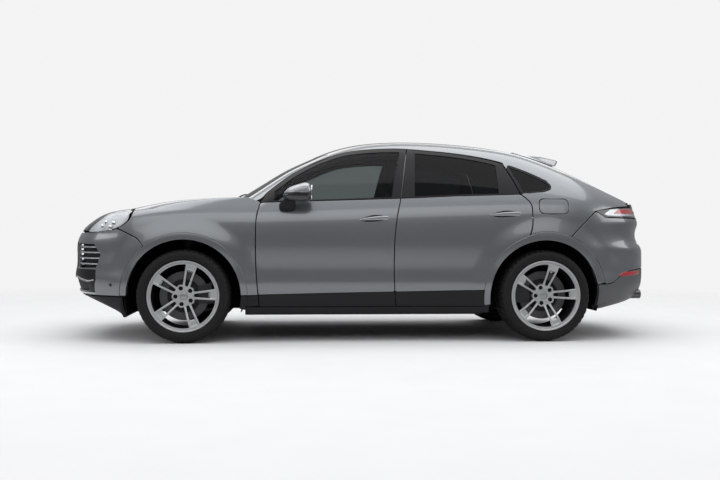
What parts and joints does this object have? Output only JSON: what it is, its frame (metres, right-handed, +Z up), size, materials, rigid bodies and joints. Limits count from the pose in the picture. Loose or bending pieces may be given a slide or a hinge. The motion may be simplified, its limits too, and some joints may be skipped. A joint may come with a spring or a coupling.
{
  "type": "sport utility vehicle",
  "caption": "Coupe-roofed five-door sport utility vehicle with opening doors, hood and tailgate, steered front wheels and rolling alloy wheels.",
  "frame": {"origin": "middle of the plan box, on the road under the tyres", "axes": "+X forward to the nose, +Y to the car's left, +Z up"},
  "size_m": [4.9295, 2.1896, 1.6755],
  "materials": {
    "paint": "metallic gloss",
    "black": "satin",
    "gloss_black": "gloss",
    "grey": "satin",
    "glass": "clear tint",
    "privacy": "dark tint",
    "rim": "satin",
    "tyre": "matte",
    "iron": "matte",
    "clear_lamp": "clear gloss",
    "red_lamp": "clear gloss",
    "chrome": "polished",
    "leather": "satin"
  },
  "bodies": {
    "body": {"underbody": "black", "wheel_liners": "black", "side_frames": "paint", "roof_panel": "gloss_black", "windshield": "glass", "cowl": "black", "fenders": "paint", "front_bumper": "paint", "front_chin": "black", "grille": "gloss_black", "headlights": "clear_lamp", "rear_bumper": "paint", "rear_diffuser": "grey", "exhaust_tips": "chrome", "tail_lights": "red_lamp", "quarter_glass": "privacy", "front_suspension": "iron", "rear_suspension": "iron", "engine_block": "iron", "seats": "leather", "dashboard": "leather"},
    "hood": {"hood": "paint"},
    "door_front_left": {"door_front_left": "paint", "glass_front_left": "glass", "mirror_left": "paint"},
    "door_front_right": {"door_front_right": "paint", "glass_front_right": "glass", "mirror_right": "paint"},
    "door_rear_left": {"door_rear_left": "paint", "glass_rear_left": "privacy"},
    "door_rear_right": {"door_rear_right": "paint", "glass_rear_right": "privacy"},
    "tailgate": {"tailgate": "paint", "tailgate_glass": "privacy", "roof_spoiler": "paint", "tailgate_light": "red_lamp"},
    "charge_flap": {"charge_flap": "paint"},
    "fuel_flap": {"fuel_flap": "paint"},
    "knuckle_left": {"knuckle_left": "iron"},
    "knuckle_right": {"knuckle_right": "iron"},
    "wheel_front_left": {"rim_front_left": "rim", "tyre_front_left": "tyre"},
    "wheel_front_right": {"rim_front_right": "rim", "tyre_front_right": "tyre"},
    "wheel_rear_left": {"rim_rear_left": "rim", "tyre_rear_left": "tyre"},
    "wheel_rear_right": {"rim_rear_right": "rim", "tyre_rear_right": "tyre"},
    "steering_wheel": {"steering_wheel": "leather"}
  },
  "joints": [
    {"name": "steer_left", "type": "hinge", "parent": "body", "child": "knuckle_left", "pos_m": [1.48, 0.77, 0.37], "axis": [0, 0, 1], "range_deg": [-35, 35]},
    {"name": "steer_right", "type": "hinge", "parent": "body", "child": "knuckle_right", "pos_m": [1.48, -0.77, 0.37], "axis": [0, 0, 1], "range_deg": [-35, 35]},
    {"name": "spin_front_left", "type": "hinge", "parent": "knuckle_left", "child": "wheel_front_left", "pos_m": [1.48, 0.84, 0.37], "axis": [0, 1, 0], "continuous": true},
    {"name": "spin_front_right", "type": "hinge", "parent": "knuckle_right", "child": "wheel_front_right", "pos_m": [1.48, -0.84, 0.37], "axis": [0, 1, 0], "continuous": true},
    {"name": "spin_rear_left", "type": "hinge", "parent": "body", "child": "wheel_rear_left", "pos_m": [-1.415, 0.8365, 0.37], "axis": [0, 1, 0], "continuous": true},
    {"name": "spin_rear_right", "type": "hinge", "parent": "body", "child": "wheel_rear_right", "pos_m": [-1.415, -0.8365, 0.37], "axis": [0, 1, 0], "continuous": true},
    {"name": "door_front_left_swing", "type": "hinge", "parent": "body", "child": "door_front_left", "pos_m": [0.915, 0.972, 0.7], "axis": [0, 0, -1], "range_deg": [0, 65]},
    {"name": "door_front_right_swing", "type": "hinge", "parent": "body", "child": "door_front_right", "pos_m": [0.915, -0.972, 0.7], "axis": [0, 0, 1], "range_deg": [0, 65]},
    {"name": "door_rear_left_swing", "type": "hinge", "parent": "body", "child": "door_rear_left", "pos_m": [-0.188, 0.966, 0.7], "axis": [0, 0, -1], "range_deg": [0, 68]},
    {"name": "door_rear_right_swing", "type": "hinge", "parent": "body", "child": "door_rear_right", "pos_m": [-0.188, -0.966, 0.7], "axis": [0, 0, 1], "range_deg": [0, 68]},
    {"name": "hood_lift", "type": "hinge", "parent": "body", "child": "hood", "pos_m": [1.026, 0, 1.172], "axis": [0, -1, 0], "range_deg": [0, 55]},
    {"name": "tailgate_lift", "type": "hinge", "parent": "body", "child": "tailgate", "pos_m": [-1.25, 0, 1.6], "axis": [0, 1, 0], "range_deg": [0, 72]},
    {"name": "charge_flap_swing", "type": "hinge", "parent": "body", "child": "charge_flap", "pos_m": [-1.371, 0.962, 1.093], "axis": [0, 0, -1], "range_deg": [0, 80]},
    {"name": "fuel_flap_swing", "type": "hinge", "parent": "body", "child": "fuel_flap", "pos_m": [-1.371, -0.962, 1.093], "axis": [0, 0, 1], "range_deg": [0, 80]},
    {"name": "steering_wheel_turn", "type": "hinge", "parent": "body", "child": "steering_wheel", "pos_m": [0.56, 0.37, 0.96], "axis": [-0.9272, 0, 0.3746], "range_deg": [-455, 455]}
  ],
  "couplings": [
    {"joint": "steer_right", "follows": "steer_left", "ratio": 1},
    {"joint": "steering_wheel_turn", "follows": "steer_left", "ratio": 13}
  ]
}
